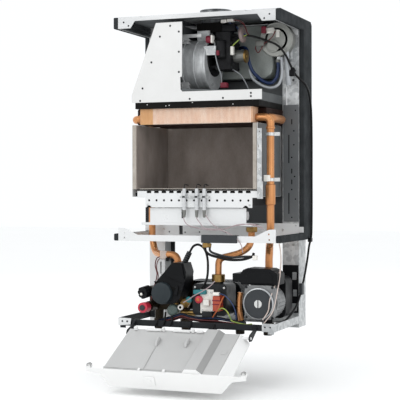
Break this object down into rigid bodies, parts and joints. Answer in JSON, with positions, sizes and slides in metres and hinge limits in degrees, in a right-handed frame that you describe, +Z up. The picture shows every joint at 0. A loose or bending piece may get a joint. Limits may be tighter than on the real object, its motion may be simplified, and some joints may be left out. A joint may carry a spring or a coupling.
{
  "type": "combi boiler",
  "caption": "Wall-hung gas boiler without its casing: frame, fan and hood, finned exchanger over an open chamber, gas and water blocks, and a hinged control box folded open.",
  "frame": {"origin": "on the wall plane, midway between the sides, on the back face of the lower wall rail (level with the underside of the frame)", "axes": "+X to the right seen from the front, +Y into the wall, +Z up"},
  "size_m": [0.4085, 0.4183, 0.8348],
  "materials": {
    "white_enamel": "white powder coat",
    "galvanised": "galvanised sheet",
    "dark_steel": "dark coated sheet",
    "aluminium": "cast and spun",
    "copper": "drawn copper, slightly tarnished",
    "brass": "cast brass",
    "foam": "closed-cell foam",
    "black_plastic": "glass-filled, satin",
    "grey_plastic": "fine textured",
    "red_plastic": "satin",
    "blue_rubber": "silicone hose",
    "cable_sheath": "smooth sheath",
    "fibre_board": "ceramic-fibre board",
    "porcelain": "glazed",
    "coil_resin": "varnished coil",
    "circuit_board": "solder mask",
    "dark_glass": "tinted window"
  },
  "bodies": {
    "boiler": {"upright_left": "white_enamel", "upright_right": "galvanised", "hanging_rail": "galvanised", "lower_rail": "galvanised", "rear_panel": "white_enamel", "cross_panel": "galvanised", "top_panel": "white_enamel", "mid_frame": "white_enamel", "bottom_arm_left": "dark_steel", "bottom_arm_right": "galvanised", "bottom_bar": "dark_steel", "gasket_left": "foam", "gasket_right": "foam", "flue_collar": "aluminium", "smoke_hood": "dark_steel", "hood_front_plate": "white_enamel", "fan_volute": "aluminium", "fan_motor": "dark_steel", "pressure_switch": "grey_plastic", "switch_hose": "blue_rubber", "fan_cable": "cable_sheath", "expansion_vessel": "dark_steel", "heat_exchanger": "copper", "chamber_casing": "galvanised", "chamber_lining": "fibre_board", "hook_bracket": "white_enamel", "burner": "galvanised", "burner_front_plate": "white_enamel", "gas_manifold": "white_enamel", "electrode_bracket": "galvanised", "electrode_left": "porcelain", "electrode_centre": "porcelain", "electrode_right": "porcelain", "gas_pipe": "copper", "gas_nut": "brass", "gas_valve": "aluminium", "gas_coil": "coil_resin", "flow_pipe": "copper", "return_pipe": "copper", "plate_exchanger": "black_plastic", "diverter_block": "brass", "diverter_actuator": "black_plastic", "pump_housing": "black_plastic", "pump_motor": "aluminium", "pump_terminal_box": "black_plastic", "bar_clip": "dark_steel"},
    "control_panel": {"control_cover": "grey_plastic", "control_fascia": "grey_plastic", "control_board": "circuit_board", "display_window": "dark_glass"},
    "fan_wheel": {"fan_impeller": "galvanised"},
    "pump_wheel": {"pump_impeller": "black_plastic"},
    "vent_screw": {"pump_vent_screw": "aluminium"},
    "filling_knob": {"fill_knob": "black_plastic"},
    "safety_tap": {"safety_knob": "red_plastic"},
    "spindle": {"diverter_spindle": "galvanised"},
    "heating_dial": {"heating_knob": "grey_plastic"},
    "water_dial": {"water_knob": "grey_plastic"},
    "mode_key": {"mode_button": "grey_plastic"},
    "reset_key": {"reset_button": "grey_plastic"}
  },
  "joints": [
    {"name": "control_panel_hinge", "type": "hinge", "parent": "boiler", "child": "control_panel", "pos_m": [0, -0.27742, -0.01165], "axis": [1, 0, 0], "range_deg": [-116.6, 0]},
    {"name": "heating_dial_turn", "type": "hinge", "parent": "control_panel", "child": "heating_dial", "pos_m": [-0.095, -0.33014, -0.08503], "axis": [0, 0.4478, -0.8942], "range_deg": [0, 270]},
    {"name": "water_dial_turn", "type": "hinge", "parent": "control_panel", "child": "water_dial", "pos_m": [0.072, -0.33014, -0.08503], "axis": [0, 0.4478, -0.8942], "range_deg": [0, 270]},
    {"name": "mode_key_press", "type": "slide", "parent": "control_panel", "child": "mode_key", "axis": [0, -0.4478, 0.8942], "range_m": [0, 0.002], "stiffness_N_per_m": 300, "springref_m": -0.001},
    {"name": "reset_key_press", "type": "slide", "parent": "control_panel", "child": "reset_key", "axis": [0, -0.4478, 0.8942], "range_m": [0, 0.002], "stiffness_N_per_m": 300, "springref_m": -0.001},
    {"name": "fan_wheel_spin", "type": "hinge", "parent": "boiler", "child": "fan_wheel", "pos_m": [0, -0.129, 0.612], "axis": [1, 0, 0], "continuous": true},
    {"name": "pump_wheel_spin", "type": "hinge", "parent": "boiler", "child": "pump_wheel", "pos_m": [0.144, -0.14, 0.058], "axis": [0, 1, 0], "continuous": true},
    {"name": "vent_screw_turn", "type": "hinge", "parent": "boiler", "child": "vent_screw", "pos_m": [0.144, -0.226, 0.058], "axis": [0, -1, 0], "range_deg": [0, 360]},
    {"name": "filling_knob_turn", "type": "hinge", "parent": "boiler", "child": "filling_knob", "pos_m": [-0.13, -0.202, 0.076], "axis": [-0.3034, -0.9407, -0.1517], "range_deg": [0, 270]},
    {"name": "safety_tap_turn", "type": "hinge", "parent": "boiler", "child": "safety_tap", "pos_m": [-0.133, -0.218, 0.04], "axis": [0, -1, 0], "range_deg": [0, 90]},
    {"name": "spindle_slide", "type": "slide", "parent": "boiler", "child": "spindle", "axis": [0, 1, 0], "range_m": [0, 0.006]}
  ]
}
